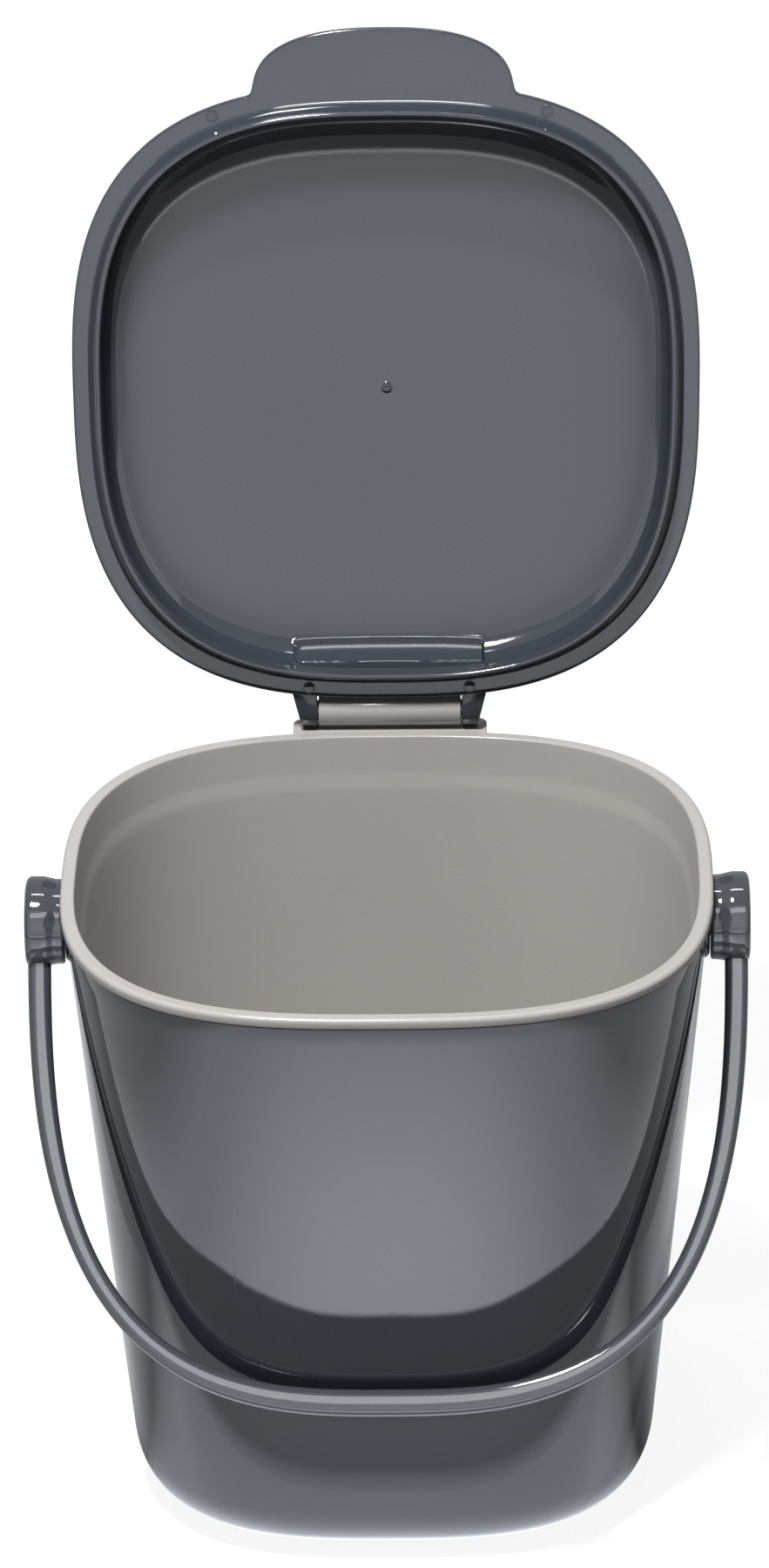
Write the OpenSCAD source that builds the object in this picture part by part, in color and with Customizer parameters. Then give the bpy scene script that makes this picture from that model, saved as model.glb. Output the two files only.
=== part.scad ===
// Compost caddy with hinged lid: outer shell, inner bucket, lid and carrying handle.
// Millimetres, +Z up, front towards -Y, resting on Z = 0, origin under the middle of the body.

/* [Body] */
// Width over the rim band
rim_width = 172.8; // [140:0.2:220]
// Depth over the rim band
rim_depth = 172; // [140:0.2:220]
// Height of the rim above the resting plane
rim_height = 173; // [120:0.5:240]
// Width of the walls carried down to the resting plane
base_width = 138.4; // [110:0.2:180]
// Depth of the walls carried down to the resting plane
base_depth = 137.8; // [110:0.2:180]
// Squareness of the rim outline, 2 being an ellipse
rim_squareness = 2.84; // [2.2:0.02:4]
// Squareness of the base outline
base_squareness = 3; // [2.2:0.02:4]
// Radius of the rounded bottom edge
base_round = 16; // [8:0.5:24]
// Height of the foot ring
foot_height = 1.2; // [0.6:0.1:3]
// Width of the foot ring
foot_width = 3; // [2:0.5:6]

/* [Walls] */
// Wall of the outer shell
shell_wall = 1.6; // [1.2:0.1:3]
// Floor of the outer shell
shell_floor = 2; // [1.2:0.1:4]
// Space between outer shell and inner bucket
nest_gap = 0.4; // [0.3:0.1:2]
// Wall of the inner bucket
bucket_wall = 1.8; // [1.2:0.1:3]
// Floor of the inner bucket
bucket_floor = 2; // [1.2:0.1:4]

/* [Rim] */
// Height of the visible rim band
rim_band = 2.7; // [2:0.1:6]
// Rounding of the rim's outer edge
rim_round = 1.2; // [0.4:0.1:2]
// Flat land on top of the rim
rim_land = 2.6; // [1.5:0.1:5]
// Height of the sloping face inside the rim
lead_in = 10; // [4:0.5:16]
// Step where the sloping face meets the inner wall
lead_step = 0.5; // [0.2:0.1:1]
// How far the band stands out past the shell
rim_overhang = 1; // [0.4:0.1:2]
// Height of the reveal groove under the band
reveal = 0.5; // [0.3:0.1:1]
// Depth of the reveal groove, measured from the shell
reveal_depth = 0.9; // [0.5:0.1:1.4]
// Rounding of the shell's top edge
shell_edge = 0.6; // [0.2:0.1:1]

/* [Hinge] */
// Radius of the hinge barrel
barrel_r = 4.4; // [3.5:0.1:6]
// Gap between the barrel and the platform it stands on
barrel_lift = 0.6; // [0.4:0.1:3]
// Gap between the barrel and the lid's back edge as the lid turns
barrel_gap = 0.4; // [0.3:0.02:2]
// Length of the hinge barrel
barrel_length = 39; // [24:0.5:60]
// Radius of the lid's stub pins
pin_r = 2.75; // [1.5:0.05:3.2]
// Length of each stub pin inside the barrel
pin_length = 4; // [2:0.5:8]
// Radial clearance of a stub pin in its bore
pin_play = 0.06; // [0.02:0.01:0.1]
// Gap between a hinge ear and the barrel's end
ear_gap = 0.35; // [0.2:0.05:0.8]
// Thickness of an ear at its root on the lid
ear_root = 7.6; // [5:0.1:10]
// Thickness of an ear at its free end
ear_tip = 4; // [3:0.1:6]
// How far an ear's foot reaches onto the lid
ear_foot = 4.7; // [3:0.1:8]
// Turning clearance under an ear
ear_clear = 0.4; // [0.2:0.05:1]
// Opening angle at which the ears meet their stop
open_angle = 102; // [92:1:120]
// Gap left at the stop
stop_gap = 0.1; // [0.05:0.05:0.3]

/* [Lid] */
// How far the lid's edge stays inside the rim band
lid_inset = 1.2; // [0:0.1:4]
// Squareness of the lid outline
lid_squareness = 2.8; // [2.2:0.02:4]
// Percent by which the lid grows wider towards its front
lid_flare = 1.5; // [0:0.1:2.5]
// Gap between the closed lid and the rim land
seat_gap = 0.2; // [0.1:0.05:0.5]
// Thickness of the flange and thumb tab
flange_thick = 2.5; // [1.5:0.1:4]
// Rounding of the flange's edges
flange_round = 0.7; // [0.2:0.1:1.2]
// Gap between the plug lip and the rim's inner edge
lip_clear = 2.1; // [0.3:0.1:5]
// Depth of the plug lip below the flange
lip_depth = 6; // [3:0.5:12]
// Thickness of the lip at its root
lip_root = 3.2; // [2:0.1:4]
// Thickness of the lip at its rounded edge
lip_edge = 1.6; // [1:0.1:2.4]
// Wall of the domed top
dome_wall = 2.2; // [1.4:0.1:3]
// Rise of the inside of the dome above the flange's underside
dome_rise = 14; // [8:0.5:30]
// Squareness of the dome's section
dome_squareness = 3.4; // [2.2:0.1:5]
// Width of the thumb tab at its root
tab_width = 70.5; // [40:0.5:100]
// Reach of the thumb tab past the flange
tab_reach = 15.4; // [8:0.2:25]
// Squareness of the tab's outline
tab_squareness = 2.5; // [2:0.1:4]
// Fillet between thumb tab and flange
tab_fillet = 3; // [1:0.5:6]
// Depth of the pocket for the barrel, at the flange
pocket_depth = 3.4; // [1:0.1:6]
// Lean of the pocket's wall
pocket_lean = 28; // [10:1:45]

/* [Handle] */
// Gap between the rim band's underside and a hub
hub_clear = 0.4; // [0.3:0.1:30]
// Length of a hub along the pivots
hub_length = 10.5; // [8:0.1:16]
// Reach from the pivots to the outside of the grip
handle_reach = 133; // [90:0.5:160]
// Width of the arms at the hubs
arm_width = 6.2; // [4:0.1:10]
// How far the arms stay inside the hubs' outer faces
arm_inset = 0.5; // [0:0.1:2]
// Height of the grip's section
grip_height = 7.2; // [5:0.1:12]
// Thickness of arms and grip
bail_thick = 5.6; // [4:0.1:9]
// Corner rounding of the bail's section
bail_round = 2.2; // [0.6:0.1:2.6]
// Squareness of the handle's outer outline
bail_squareness = 2.82; // [2.2:0.02:4]
// Gap between the resting grip and the shell's front
rest_gap = 0.3; // [0.1:0.05:1]
// Radius of the hub's outer disc
hub_r = 12.2; // [9:0.1:16]
// Step from the disc down to the hub's barrel
hub_step = 0.8; // [0.3:0.1:2]
// Thickness of the hub's outer disc
disc_thick = 3.4; // [2:0.1:5]
// Rounding of the disc's outer edge
disc_round = 1.8; // [0.6:0.1:2.4]
// Radius of the pivot stud
stud_r = 5; // [3:0.1:8]
// Running clearance round the stud
stud_play = 0.08; // [0.03:0.01:0.1]
// Extra radius of the stud's snap head
head_step = 0.6; // [0.3:0.1:1.2]
// Thickness of the snap head
head_thick = 1.6; // [1:0.1:3]
// Radius of the boss under a hub
boss_r = 10.8; // [7:0.1:12]
// Chamfer where boss and hub face each other
boss_edge = 0.7; // [0.2:0.1:1.5]
// Gap between boss and hub
hub_gap = 0.3; // [0.2:0.05:0.8]

/* [Hidden] */
ring_points = 64;    // corners in one outline of a body
fillet_steps = 5;    // rings in a rounded bottom edge
wall_steps = 3;      // rings up a tapering wall
dome_steps = 8;      // rings from the dome's edge to its crown
bail_steps = 56;     // sections along the handle
$fn = 64;

shell_top = rim_height - rim_band - reveal;
flange_width = rim_round + rim_land + lip_clear - lid_inset;
hinge_rise = barrel_r + barrel_lift;
// the lid's upper back edge passes the barrel with barrel_gap
hinge_back = sqrt(pow(barrel_r + barrel_gap, 2)
                  - pow(hinge_rise - seat_gap - flange_thick, 2)) - lid_inset;
hinge_y = rim_depth / 2 + hinge_back;
hinge_z = rim_height + hinge_rise;
ear_reach = hinge_back + lid_inset + ear_foot;
platform_half = barrel_length / 2 + ear_gap + ear_root - 0.8;
lid_a = rim_width / 2 - lid_inset;
lid_b = rim_depth / 2 - lid_inset;
lip_in = flange_width + lip_root;
dome_in = lip_in + 0.4;
dome_flat = 0.1;
pivot_z = rim_height - rim_band - hub_clear - (hub_r - hub_step);
boss_face = rim_width / 2 - rim_overhang;
hub_in = boss_face + hub_gap;
hub_out = hub_in + hub_length;
head_out = hub_out - disc_thick - 0.4;

// The grip's inner edge lies on the tapering front wall: angle of the handle from straight down
taper = atan((rim_depth - 2 * rim_overhang - base_depth) / 2 / shell_top);
wall_off = mix(base_depth, rim_depth - 2 * rim_overhang, pivot_z / shell_top) / 2 * cos(taper);
grip_s = handle_reach - grip_height + bail_round;
grip_h = bail_thick / 2 - bail_round;
rest_angle = asin((wall_off + rest_gap + bail_round) / norm([grip_s, grip_h]))
    + atan(grip_h / grip_s) - taper;

function mix(p, q, t) = p + (q - p) * t;

// One level outline: |x/a|^n + |y/b|^n = 1 at height z
function outline(a, b, n, z) = [
    for (i = [0:ring_points - 1])
        let (t = 360 * i / ring_points,
             r = pow(pow(abs(cos(t)) / a, n) + pow(abs(sin(t)) / b, n), -1 / n))
            [r * cos(t), r * sin(t), z]];

// Outline of the tapering walls at height z, moved inwards by inset
function wall(z, inset) =
    let (t = z / shell_top)
        outline(mix(base_width, rim_width - 2 * rim_overhang, t) / 2 - inset,
                mix(base_depth, rim_depth - 2 * rim_overhang, t) / 2 - inset,
                mix(base_squareness, rim_squareness, t), z);

// Rings of a cup: flat floor, rounded edge of radius r, then the wall up to top
function cup(inset, floor_z, r, top) = concat(
    [for (q = [0:fillet_steps])
        let (t = 90 * q / fillet_steps)
            wall(floor_z + r * (1 - cos(t)), inset + r * (1 - sin(t)))],
    [for (k = [1:wall_steps]) wall(mix(floor_z + r, top, k / wall_steps), inset)]);

// Outline of the lid, moved inwards by inset and shrunk by p, at z above the flange's underside
function lid_ring(inset, z, p = 1) = [
    for (c = outline((lid_a - inset) * p, (lid_b - inset) * p, lid_squareness,
                     rim_height + seat_gap + z))
        [c.x * (1 - lid_flare / 100 * c.y / lid_b), c.y, c.z]];

// Dome from its edge to its crown: p^s + (z/rise)^s = 1, p being the share of the half width
function dome(inset, z0, rise) = [
    for (k = [1:dome_steps])
        let (t = 90 * k / dome_steps,
             p = max(dome_flat, pow(cos(t), 2 / dome_squareness)),
             z = z0 + rise * pow(1 - pow(p, dome_squareness), 1 / dome_squareness))
            lid_ring(inset, z, p)];

// Solid through a stack of rings, closed by its first and last ring
module loft(rings) {
    n = len(rings[0]);
    m = len(rings);
    polyhedron(
        points = [for (ring = rings) each ring],
        faces = concat(
            [[for (i = [0:n - 1]) i]],
            [[for (i = [n - 1:-1:0]) (m - 1) * n + i]],
            [for (k = [0:m - 2], i = [0:n - 1])
                let (j = (i + 1) % n)
                    [k * n + i, (k + 1) * n + i, (k + 1) * n + j, k * n + j]]),
        convexity = 6);
}

// Cylinder along X from x0 to x1
module axle(r, x0, x1) {
    translate([x0, 0, 0]) rotate([0, 90, 0]) cylinder(r = r, h = x1 - x0);
}

// Both sides: the child and its mirror image
module both_sides() {
    for (side = [0, 1]) mirror([side, 0, 0]) children();
}

// Pivot stud with its boss and snap head, on the +X side
module stud() {
    translate([0, 0, pivot_z]) {
        axle(boss_r, boss_face - 8, boss_face - boss_edge);
        translate([boss_face - boss_edge, 0, 0]) rotate([0, 90, 0])
            cylinder(r1 = boss_r, r2 = boss_r - boss_edge, h = boss_edge);
        axle(stud_r, boss_face - 1, head_out);
        axle(stud_r + head_step, head_out - head_thick, head_out);
    }
}

module outer_shell() {
    color("#5b6168") {
        difference() {
            union() {
                loft(concat(
                    cup(0, foot_height, base_round, shell_top - shell_edge),
                    [for (t = [45, 90]) wall(shell_top - shell_edge * (1 - sin(t)),
                                             shell_edge * (1 - cos(t)))]));
                both_sides() stud();
            }
            loft(cup(shell_wall, foot_height + shell_floor, base_round - shell_wall, shell_top + 1));
        }
        // foot ring
        linear_extrude(foot_height) difference() {
            polygon([for (p = wall(foot_height, base_round + 1)) [p.x, p.y]]);
            polygon([for (p = wall(foot_height, base_round + 1 + foot_width)) [p.x, p.y]]);
        }
    }
}

// Rim section above the shell: ledge, reveal groove, band, rounded edge and land
function rim_rings() =
    let (a = rim_width / 2, b = rim_depth / 2, n = rim_squareness)
        concat(
            [wall(shell_top, reveal_depth),
             outline(a - rim_overhang - reveal_depth, b - rim_overhang - reveal_depth, n,
                     shell_top + reveal),
             outline(a - 0.2, b - 0.2, n, shell_top + reveal),
             outline(a, b, n, shell_top + reveal + 0.2)],
            [for (t = [0, 30, 60, 90])
                outline(a - rim_round * (1 - cos(t)), b - rim_round * (1 - cos(t)), n,
                        rim_height - rim_round * (1 - sin(t)))]);

module hinge_barrel() {
    translate([0, hinge_y, hinge_z]) difference() {
        union() {
            axle(barrel_r, -barrel_length / 2, barrel_length / 2);
            translate([-barrel_length / 2, -0.6, -hinge_rise])
                cube([barrel_length, barrel_r + 0.2, hinge_rise]);
        }
        both_sides() axle(pin_r + pin_play, barrel_length / 2 - pin_length - 1.5, barrel_length / 2 + 1);
    }
}

module inner_bucket() {
    inset = shell_wall + nest_gap;
    floor_z = foot_height + shell_floor + nest_gap;
    inner = inset + bucket_wall;
    lead_z = rim_height - lead_in;
    land_in = rim_round + rim_land;
    color("#bdb9b6") {
        difference() {
            union() {
                loft(concat(
                    cup(inset, floor_z, base_round - inset, shell_top),
                    rim_rings()));
                // platform that carries the hinge
                translate([0, 0, rim_height - rim_band]) linear_extrude(rim_band) {
                    translate([-platform_half, rim_depth / 2 - 12])
                        square([2 * platform_half, 12 + hinge_back]);
                    translate([-platform_half + 3, hinge_y])
                        square([2 * platform_half - 6, hinge_rise]);
                    for (x = [-1, 1]) translate([x * (platform_half - 3), hinge_y + barrel_r - 2.4])
                        circle(3);
                    translate([-platform_half, hinge_y - 1])
                        square([2 * platform_half, barrel_r - 1.4]);
                }
            }
            loft(concat(
                cup(inner, floor_z + bucket_floor, base_round - inner, lead_z),
                [wall(lead_z, inner - lead_step),
                 outline(rim_width / 2 - land_in, rim_depth / 2 - land_in, rim_squareness, rim_height),
                 outline(rim_width / 2 - land_in, rim_depth / 2 - land_in, rim_squareness, rim_height + 1)]));
        }
        hinge_barrel();
    }
}

// Thumb tab in plan, measured from the middle of the lid
module tab_plan() {
    half = tab_width / 2;
    root = lid_b * pow(1 - pow(half / (1 + lid_flare / 100) / lid_a, lid_squareness),
                       1 / lid_squareness);
    reach = lid_b + tab_reach - root;
    polygon(concat(
        [for (t = [180:6:360])
            [half * sign(cos(t)) * pow(abs(cos(t)), 2 / tab_squareness),
             -root - reach * pow(abs(sin(t)), 2 / tab_squareness)]],
        [[half, -root + 6], [-half, -root + 6]]));
    // fillets into the flange
    both_sides() difference() {
        translate([half - 1, -root - tab_fillet + 1]) square([tab_fillet + 1, tab_fillet + 2]);
        translate([half + tab_fillet, -root - tab_fillet]) circle(tab_fillet);
    }
}

// Hinge ear in profile (y, z) about the hinge axis, lid closed
module ear_profile() {
    flange_z = seat_gap - hinge_rise;
    circle(hinge_rise - ear_clear);
    // heel that meets the platform when the lid is open
    rotate(open_angle - 90) square([hinge_rise - stop_gap, 3.2]);
    polygon([[-ear_reach, flange_z], [-hinge_back - 0.5, flange_z], [0, -hinge_rise + ear_clear],
             [0, hinge_rise - ear_clear], [-ear_reach, flange_z + flange_thick + 1.5]]);
}

module hinge_ear() {
    inner_x = barrel_length / 2 + ear_gap;
    slant = atan((ear_root - ear_tip) / (ear_reach + hinge_rise));
    translate([0, hinge_y, hinge_z]) {
        difference() {
            translate([inner_x, 0, 0]) rotate([90, 0, 90]) linear_extrude(ear_root) ear_profile();
            translate([inner_x + ear_root, -ear_reach, 0]) rotate([0, 0, slant])
                translate([0, -10, -20]) cube([20, 40, 40]);
        }
        axle(pin_r, barrel_length / 2 - pin_length, inner_x + 1);
    }
}

// Block whose face leans with the dome, at the back of the lid; face is its distance inside the edge
module pocket(half, face, z) {
    translate([0, lid_b - face, rim_height + seat_gap + z])
        rotate([pocket_lean, 0, 0]) translate([-half, 0, 0]) cube([2 * half, 30, 30]);
}

module closed_lid() {
    outer = flange_width - 0.8;
    difference() {
        union() {
            loft(concat(
                [lid_ring(lip_in - lip_edge * 0.4, -lip_depth),
                 lid_ring(lip_in - lip_edge * 0.8, -lip_depth),
                 lid_ring(lip_in - lip_edge, -lip_depth + 0.5),
                 lid_ring(flange_width + 0.4, -0.6),
                 lid_ring(flange_width - 0.4, 0),
                 lid_ring(flange_round, 0),
                 lid_ring(0, flange_round),
                 lid_ring(0, flange_thick - flange_round),
                 lid_ring(flange_round, flange_thick),
                 lid_ring(outer, flange_thick)],
                dome(outer + 0.2, flange_thick + 0.4, dome_rise + dome_wall - flange_thick - 0.4)));
            translate([0, 0, rim_height + seat_gap]) linear_extrude(flange_thick) tab_plan();
        }
        difference() {
            loft(concat(
                [lid_ring(lip_in - lip_edge * 0.4, -lip_depth - 1),
                 lid_ring(lip_in - lip_edge * 0.4, -lip_depth),
                 lid_ring(lip_in, -lip_depth + 0.6)],
                dome(dome_in, 0, dome_rise)));
            pocket(platform_half + 1 + dome_wall, flange_width + pocket_depth + dome_wall,
                   flange_thick - dome_wall);
        }
        pocket(platform_half + 1, flange_width + pocket_depth, flange_thick);
    }
    both_sides() hinge_ear();
}

module lid() {
    color("#5b6168")
        translate([0, hinge_y, hinge_z]) rotate([-open_angle, 0, 0])
            translate([0, -hinge_y, -hinge_z]) closed_lid();
}

// Rounded section of the bail between the inner and the outer outline at angle t, hanging down
function bail_ring(t) =
    let (arm_out = hub_out - arm_inset,
         outer = bail_point(t, arm_out, handle_reach, bail_squareness),
         inner = bail_point(t, arm_out - arm_width, handle_reach - grip_height,
                            bail_squareness + 0.2),
         w = norm(outer - inner), u = (outer - inner) / w, h = bail_thick / 2)
        [for (q = [0:3], e = [0, 45, 90])
            let (c = [[w - bail_round, h - bail_round], [bail_round, h - bail_round],
                      [bail_round, bail_round - h], [w - bail_round, bail_round - h]][q],
                 s = c[0] + bail_round * cos(90 * q + e),
                 y = c[1] + bail_round * sin(90 * q + e),
                 p = inner + u * s)
                [p[0], y, p[1]]];

function bail_point(t, a, b, n) =
    let (r = pow(pow(abs(cos(t)) / a, n) + pow(abs(sin(t)) / b, n), -1 / n))
        [r * cos(t), -r * sin(t)];

// Sections of the bail, swept from hub to hub
module bail() {
    loft([for (k = [bail_steps:-1:0]) bail_ring(180 * k / bail_steps)]);
}

// Hub round the stud on the +X side, with its bore and the pocket for the snap head
module hub_solid() {
    barrel = hub_r - hub_step;
    rotate([0, 90, 0]) rotate_extrude() polygon(concat(
        [[0, hub_in], [barrel - boss_edge, hub_in], [barrel, hub_in + boss_edge]],
        // the barrel flares into the disc
        [for (t = [0:45:180]) [barrel + hub_step * (1 - cos(t)) / 2,
                               hub_out - disc_thick - 1.5 + 2 * t / 180]],
        [for (t = [0:22.5:90]) [hub_r - disc_round * (1 - cos(t)),
                                hub_out - disc_round * (1 - sin(t))]],
        [[0, hub_out]]));
}

module hub_bore() {
    axle(stud_r + stud_play, hub_in - 5, head_out);
    axle(stud_r + head_step + 0.3, head_out - head_thick - 0.3, head_out + 0.3);
}

module handle() {
    color("#5b6168")
        translate([0, 0, pivot_z]) rotate([-rest_angle, 0, 0])
            difference() {
                union() {
                    bail();
                    both_sides() hub_solid();
                }
                both_sides() hub_bore();
            }
}

outer_shell();
inner_bucket();
lid();
handle();
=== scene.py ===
import math
import bpy
import numpy as np
from mathutils import Matrix, Vector


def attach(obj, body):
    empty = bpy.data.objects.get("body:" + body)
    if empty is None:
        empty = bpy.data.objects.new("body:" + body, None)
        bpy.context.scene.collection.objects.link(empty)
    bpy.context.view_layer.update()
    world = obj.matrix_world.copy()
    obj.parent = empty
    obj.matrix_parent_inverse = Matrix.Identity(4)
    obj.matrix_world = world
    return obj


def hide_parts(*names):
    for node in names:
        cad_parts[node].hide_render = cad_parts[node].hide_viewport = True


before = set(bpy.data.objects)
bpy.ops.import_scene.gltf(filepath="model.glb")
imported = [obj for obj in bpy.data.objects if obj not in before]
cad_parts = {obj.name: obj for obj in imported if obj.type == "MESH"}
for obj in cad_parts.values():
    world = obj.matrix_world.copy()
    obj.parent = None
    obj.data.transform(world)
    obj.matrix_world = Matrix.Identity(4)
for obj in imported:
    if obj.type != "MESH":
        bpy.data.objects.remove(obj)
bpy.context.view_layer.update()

# ---------------------------------------------------------------- outer shell
# The outer shell is a one-piece bucket of charcoal ABS with a gloss mould finish.
# Its walls taper to a rounded bottom edge and a low foot ring, its top edge is rolled,
# and a moulded boss with a snap-in pivot stud stands on each side for the handle.

MM = 0.001
WHOLE_TURN = 2 * math.pi

SHELL_TOP = 169.8            # top edge of the shell above the resting plane
RIM_HALF = (85.4, 85.0)      # half width and depth of the walls carried up to the shell's top
BASE_HALF = (69.2, 68.9)     # the same at the resting plane
RIM_POWER, BASE_POWER = 2.84, 3.0  # powers of the outline at the top and at the plane
SHELL_COLUMNS = 400
POLE = 0.01                  # radius at which a turned surface closes on its axis


def linear(hex_colour):
    """An sRGB hex colour as linear red, green, blue and alpha."""
    parts = [int(hex_colour[i:i + 2], 16) / 255 for i in (1, 3, 5)]
    return [p / 12.92 if p <= 0.04045 else ((p + 0.055) / 1.055) ** 2.4 for p in parts] + [1.0]


def outline(a, b, n, angle):
    """Superellipse |x/a|^n + |y/b|^n = 1 in polar form, one row per a, b, n, one column per angle:
    r = (|cos t / a|^n + |sin t / b|^n)^(-1/n)."""
    a, b, n = (np.atleast_1d(np.asarray(v, float))[:, None] for v in (a, b, n))
    c, s = np.cos(angle)[None], np.sin(angle)[None]
    r = (np.abs(c / a) ** n + np.abs(s / b) ** n) ** (-1 / n)
    return r * c, r * s


def wall(z, inset):
    """Half width, half depth and power of the tapering walls at height z, moved in by inset."""
    t = np.asarray(z, float) / SHELL_TOP
    inset = np.asarray(inset, float)
    return (BASE_HALF[0] + (RIM_HALF[0] - BASE_HALF[0]) * t - inset,
            BASE_HALF[1] + (RIM_HALF[1] - BASE_HALF[1]) * t - inset,
            BASE_POWER + (RIM_POWER - BASE_POWER) * t)


def cup(inset, floor_z, radius, top, steps=34):
    """Inset and height along a cup's section, from the middle of its floor to its top:
    floor, quarter circle of the given radius, straight wall."""
    t = np.linspace(0, math.pi / 2, 18)
    edge_z, edge_in = floor_z + radius * (1 - np.cos(t)), inset + radius * (1 - np.sin(t))
    up = np.linspace(floor_z + radius, top, steps)[1:]
    floor_in = edge_in[0] + np.array([49.0, 40.0, 28.0, 16.0, 7.0, 2.0])
    return (np.concatenate([np.full(6, floor_z), edge_z, up]),
            np.concatenate([floor_in, edge_in, np.full(len(up), inset)]))


def skin(x, y, z, wrap_rows=False, poles=True):
    """Vertices and faces of a grid whose columns close on themselves. Its first and last rows
    close on a pole each, or the rows wrap round as well. The faces are turned outwards."""
    rows, cols = x.shape
    points = np.stack([x, y, z], -1).reshape(-1, 3)
    i = np.arange(cols)
    j = (i + 1) % cols
    k = np.arange(rows if wrap_rows else rows - 1)[:, None]
    k2 = (k + 1) % rows
    quads = np.stack([k * cols + i, k * cols + j, k2 * cols + j, k2 * cols + i], -1).reshape(-1, 4)
    fans = np.zeros((0, 3), int)
    if not wrap_rows and poles:
        ends = points.reshape(rows, cols, 3)[[0, -1]].mean(1)
        points = np.vstack([points, ends])
        first, last = rows * cols, rows * cols + 1
        end = (rows - 1) * cols
        fans = np.vstack([np.stack([j, i, np.full(cols, first)], -1),
                          np.stack([end + i, end + j, np.full(cols, last)], -1)])
    corners = points[quads]
    volume = np.einsum("ij,ij->", corners[:, 0], np.cross(corners[:, 1], corners[:, 2]))
    volume += np.einsum("ij,ij->", corners[:, 0], np.cross(corners[:, 2], corners[:, 3]))
    three = points[fans]
    volume += np.einsum("ij,ij->", three[:, 0], np.cross(three[:, 1], three[:, 2]))
    if volume < 0:
        quads, fans = quads[:, ::-1], fans[:, ::-1]
    return points, quads.tolist() + fans.tolist()


def shell_of(rows, angle):
    """Grid through a stack of outlines given as (a, b, n, z)."""
    a, b, n, z = (np.asarray(v, float) for v in rows)
    x, y = outline(a, b, n, angle)
    return x, y, np.repeat(z[:, None], len(angle), 1)


def turned(radius, along, steps=96):
    """Surface of revolution about the X axis: the profile's radius against its place along X."""
    t = np.arange(steps) / steps * WHOLE_TURN
    radius, along = np.asarray(radius, float)[:, None], np.asarray(along, float)[:, None]
    return np.repeat(along, steps, 1), radius * np.cos(t), radius * np.sin(t)


def piece(name, parts, sharp=40):
    """One object from several closed surfaces in millimetres, smooth where it turns gently."""
    points, faces, start = [], [], 0
    for part_points, part_faces in parts:
        points.append(np.asarray(part_points) * MM)
        faces += [[start + c for c in face] for face in part_faces]
        start += len(part_points)
    mesh = bpy.data.meshes.new(name)
    mesh.from_pydata(np.vstack(points).tolist(), [], faces)
    mesh.polygons.foreach_set("use_smooth", np.ones(len(mesh.polygons), bool))
    mesh.set_sharp_from_angle(angle=math.radians(sharp))
    mesh.update()
    thing = bpy.data.objects.new(name, mesh)
    bpy.context.scene.collection.objects.link(thing)
    return thing


def mirrored(part):
    """The same closed surface on the other side of X = 0, its faces turned back outwards."""
    points, faces = part
    return np.asarray(points) * [-1, 1, 1], [face[::-1] for face in faces]


def add(tree, kind, links=(), **settings):
    """A shader node with its settings, and its inputs linked from (input, node, output)."""
    node = tree.nodes.new(kind)
    for key, value in settings.items():
        if key.startswith("in_"):
            slot = key[3:].replace("_", " ")
            node.inputs[int(slot) if slot.isdigit() else slot].default_value = value
        else:
            setattr(node, key, value)
    for target, source, output in links:
        tree.links.new(source.outputs[output], node.inputs[target])
    return node


def span(tree, value, low, high, at_low, at_high, **settings):
    """A value, given as (node, output), carried from low..high to at_low..at_high."""
    return add(tree, "ShaderNodeMapRange", [("Value", *value)],
               in_1=low, in_2=high, in_3=at_low, in_4=at_high, **settings), "Result"


def combine(tree, operation, first, second, **settings):
    """A sum, product or the like of two values, each given as (node, output) or as a number."""
    both = {0: first, 1: second}
    links = [(slot, *v) for slot, v in both.items() if isinstance(v, tuple)]
    numbers = {f"in_{slot}": v for slot, v in both.items() if not isinstance(v, tuple)}
    return add(tree, "ShaderNodeMath", links, operation=operation, **numbers, **settings), "Value"


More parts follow.
